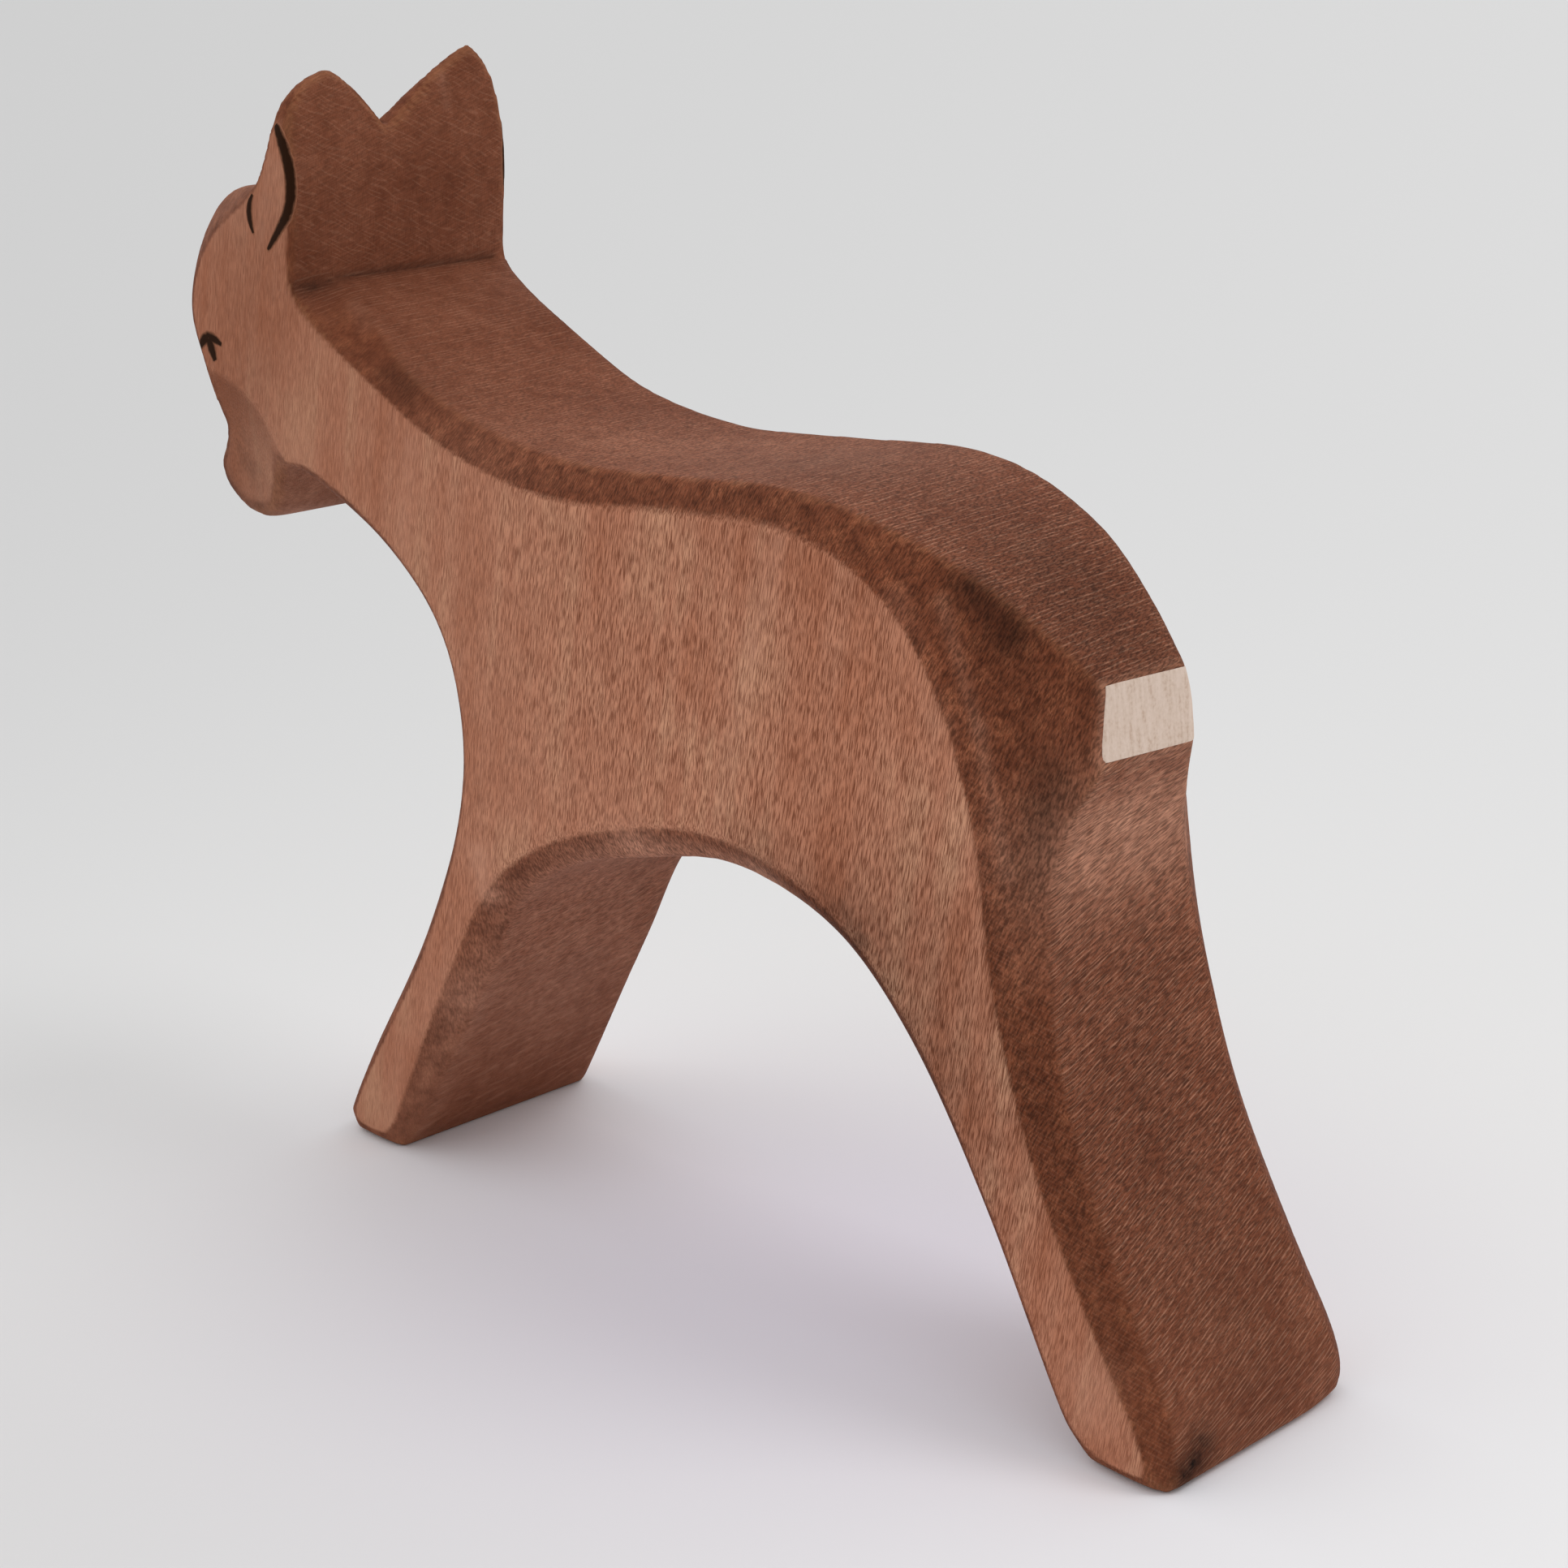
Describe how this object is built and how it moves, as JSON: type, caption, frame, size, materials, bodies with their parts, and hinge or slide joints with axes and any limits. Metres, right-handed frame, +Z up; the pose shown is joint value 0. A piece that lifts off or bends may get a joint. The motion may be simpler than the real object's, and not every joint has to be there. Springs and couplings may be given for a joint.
{
  "type": "carved wooden deer figurine",
  "caption": "Standing deer sawn from a plank, with knife-cut edges, upright ears, stained brown wood and small painted marks; a free-standing play figure or ornament.",
  "frame": {"origin": "under the middle of the figure's length and thickness, on the plane of the soles", "axes": "+Z up; the head looks along -X and the rump along +X; the plank's thickness lies along Y, with the animal's left side towards -Y"},
  "size_m": [0.1182, 0.0252, 0.0998],
  "materials": {
    "stained_wood": "brown stain, satin oiled, fine pores along the upright grain",
    "white_glaze": "thin off-white matt paint with the grain showing through",
    "dark_paint": "dark brown matt paint, brushed by hand"
  },
  "bodies": {
    "root": {"carved_body": "stained_wood", "rump_patch": "white_glaze", "ear_line_left": "dark_paint", "ear_line_right": "dark_paint", "ear_front_line_left": "dark_paint", "ear_front_line_right": "dark_paint", "eye_left": "dark_paint", "eye_right": "dark_paint"}
  },
  "joints": []
}
